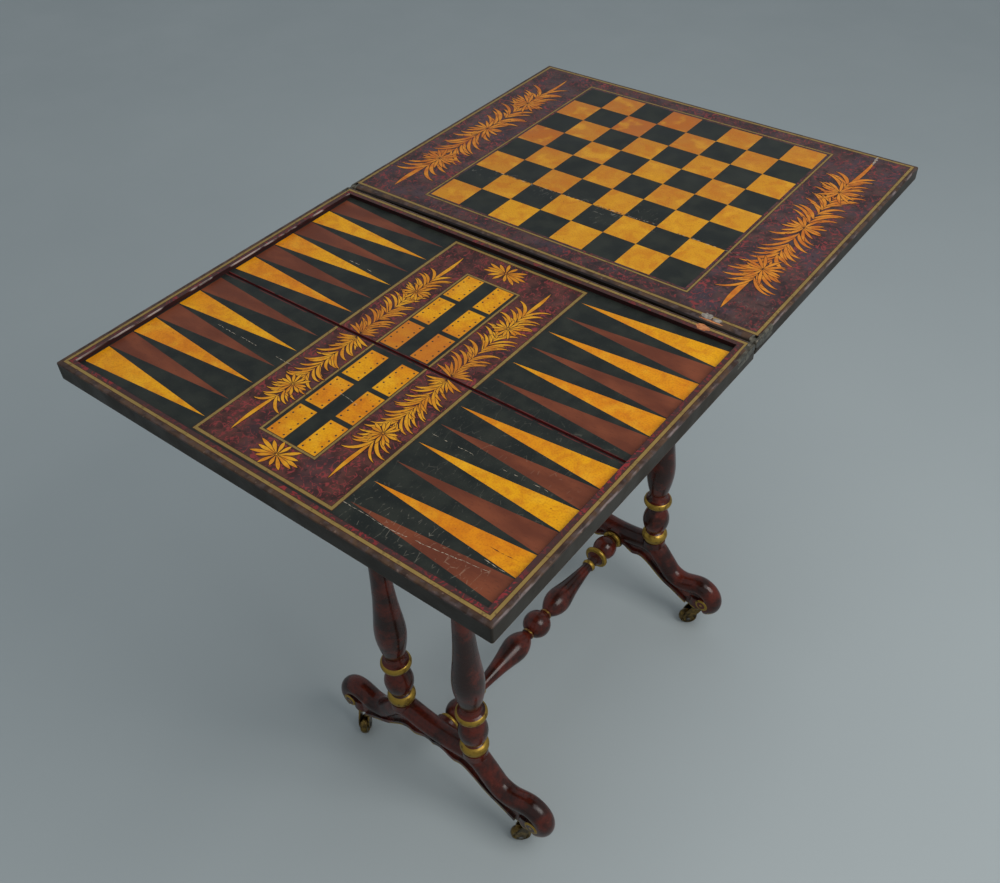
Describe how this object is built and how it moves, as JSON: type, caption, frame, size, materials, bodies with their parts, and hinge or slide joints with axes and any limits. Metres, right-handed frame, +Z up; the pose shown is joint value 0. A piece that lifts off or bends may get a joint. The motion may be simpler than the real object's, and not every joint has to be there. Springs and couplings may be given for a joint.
{
  "type": "folding games table with swivelling top",
  "caption": "Games table on turned columns and castered sledge feet; the swivelling top folds over and shows an inlaid chess board and a backgammon well with a cribbage board",
  "frame": {"origin": "on the floor under the middle of the hinge line between the two open leaves, which is also the middle of the stand", "axes": "+X along the hinge line, +Y along the stretcher towards the chess leaf, +Z up"},
  "size_m": [0.504, 0.774, 0.728],
  "materials": {
    "lacquered_stand": "dark red-brown lacquer over turned beech, gilt turnings",
    "frame_wood": "stained beech, dull",
    "board_wood": "dark stained ground board",
    "tortoiseshell": "mottled red and black japanned ground, waxed",
    "japanned_black": "black japanned ground with worn gilt lines",
    "rim_lacquer": "dark brown lacquered lipping with a gilt line",
    "amber": "amber translucent lacquer over foil",
    "brown_points": "brown lacquer",
    "black_squares": "black lacquer, scuffed",
    "brass": "aged brass",
    "hinge_brass": "tarnished brass",
    "iron": "dull wrought iron",
    "steel": "plain steel screws",
    "baize": "worn green baize",
    "gilt_lines": "ruled lines in dull gold",
    "penwork_gold": "ochre gold sprays with dark outlines",
    "worn_ground": "chips, repairs and peg marks"
  },
  "bodies": {
    "stand": {"foot_front": "lacquered_stand", "bearer_front": "lacquered_stand", "column_front_left": "lacquered_stand", "column_front_right": "lacquered_stand", "foot_rear": "lacquered_stand", "bearer_rear": "lacquered_stand", "column_rear_left": "lacquered_stand", "column_rear_right": "lacquered_stand", "rail_left": "frame_wood", "rail_right": "frame_wood", "stretcher": "lacquered_stand", "pivot_board": "frame_wood", "pivot_bush": "brass", "stop_pin": "steel", "baize_strips": "baize", "caster_plates": "brass", "caster_screws": "steel"},
    "lower_leaf": {"rim_left": "rim_lacquer", "rim_outer": "rim_lacquer", "rim_hinge": "rim_lacquer", "rim_right": "rim_lacquer", "lower_leaf_board": "board_wood", "well_panel_hinge": "japanned_black", "well_panel_outer": "japanned_black", "points_amber": "amber", "points_brown": "brown_points", "cribbage_blocks": "amber", "pivot_plate": "iron", "pivot_plate_screws": "steel", "pivot_washer": "steel", "pivot_nut": "iron", "hinge_plate_lower_left": "hinge_brass", "hinge_plate_lower_right": "hinge_brass", "hinge_screws_lower": "hinge_brass", "hinge_pins_lower": "steel"},
    "hinge_links": {"hinge_link_left": "hinge_brass", "hinge_link_right": "hinge_brass"},
    "upper_leaf": {"upper_leaf_board": "tortoiseshell", "upper_clamp_left": "tortoiseshell", "upper_clamp_right": "tortoiseshell", "squares_light": "amber", "squares_dark": "black_squares", "hinge_plate_upper_left": "hinge_brass", "hinge_plate_upper_right": "hinge_brass", "hinge_screws_upper": "hinge_brass", "hinge_pins_upper": "steel"},
    "caster_front_left": {"caster_fork_front_left": "brass", "caster_axle_front_left": "steel"},
    "wheel_front_left": {"caster_wheel_front_left": "brass"},
    "caster_front_right": {"caster_fork_front_right": "brass", "caster_axle_front_right": "steel"},
    "wheel_front_right": {"caster_wheel_front_right": "brass"},
    "caster_rear_left": {"caster_fork_rear_left": "brass", "caster_axle_rear_left": "steel"},
    "wheel_rear_left": {"caster_wheel_rear_left": "brass"},
    "caster_rear_right": {"caster_fork_rear_right": "brass", "caster_axle_rear_right": "steel"},
    "wheel_rear_right": {"caster_wheel_rear_right": "brass"}
  },
  "joints": [
    {"name": "top_swivel", "type": "hinge", "parent": "stand", "child": "lower_leaf", "pos_m": [-0.09675, -0.09675, 0.69], "axis": [0, 0, 1], "range_deg": [0, 90]},
    {"name": "link_fold", "type": "hinge", "parent": "lower_leaf", "child": "hinge_links", "pos_m": [0, -0.00465, 0.7235], "axis": [1, 0, 0], "range_deg": [0, 90]},
    {"name": "leaf_fold", "type": "hinge", "parent": "hinge_links", "child": "upper_leaf", "pos_m": [0, 0.00465, 0.7235], "axis": [1, 0, 0], "range_deg": [0, 90]},
    {"name": "swivel_front_left", "type": "hinge", "parent": "stand", "child": "caster_front_left", "pos_m": [-0.145, -0.216, 0.046], "axis": [0, 0, 1], "continuous": true},
    {"name": "roll_front_left", "type": "hinge", "parent": "caster_front_left", "child": "wheel_front_left", "pos_m": [-0.139, -0.22639, 0.014], "axis": [0.866, 0.5, 0], "continuous": true},
    {"name": "swivel_front_right", "type": "hinge", "parent": "stand", "child": "caster_front_right", "pos_m": [0.145, -0.216, 0.046], "axis": [0, 0, 1], "continuous": true},
    {"name": "roll_front_right", "type": "hinge", "parent": "caster_front_right", "child": "wheel_front_right", "pos_m": [0.13554, -0.22339, 0.014], "axis": [0.6157, -0.788, 0], "continuous": true},
    {"name": "swivel_rear_left", "type": "hinge", "parent": "stand", "child": "caster_rear_left", "pos_m": [-0.145, 0.216, 0.046], "axis": [0, 0, 1], "continuous": true},
    {"name": "roll_rear_left", "type": "hinge", "parent": "caster_rear_left", "child": "wheel_rear_left", "pos_m": [-0.1491, 0.20472, 0.014], "axis": [0.9397, -0.342, 0], "continuous": true},
    {"name": "swivel_rear_right", "type": "hinge", "parent": "stand", "child": "caster_rear_right", "pos_m": [0.145, 0.216, 0.046], "axis": [0, 0, 1], "continuous": true},
    {"name": "roll_rear_right", "type": "hinge", "parent": "caster_rear_right", "child": "wheel_rear_right", "pos_m": [0.13517, 0.20912, 0.014], "axis": [0.5736, -0.8192, 0], "continuous": true}
  ],
  "couplings": [
    {"joint": "link_fold", "follows": "leaf_fold", "ratio": 1}
  ]
}
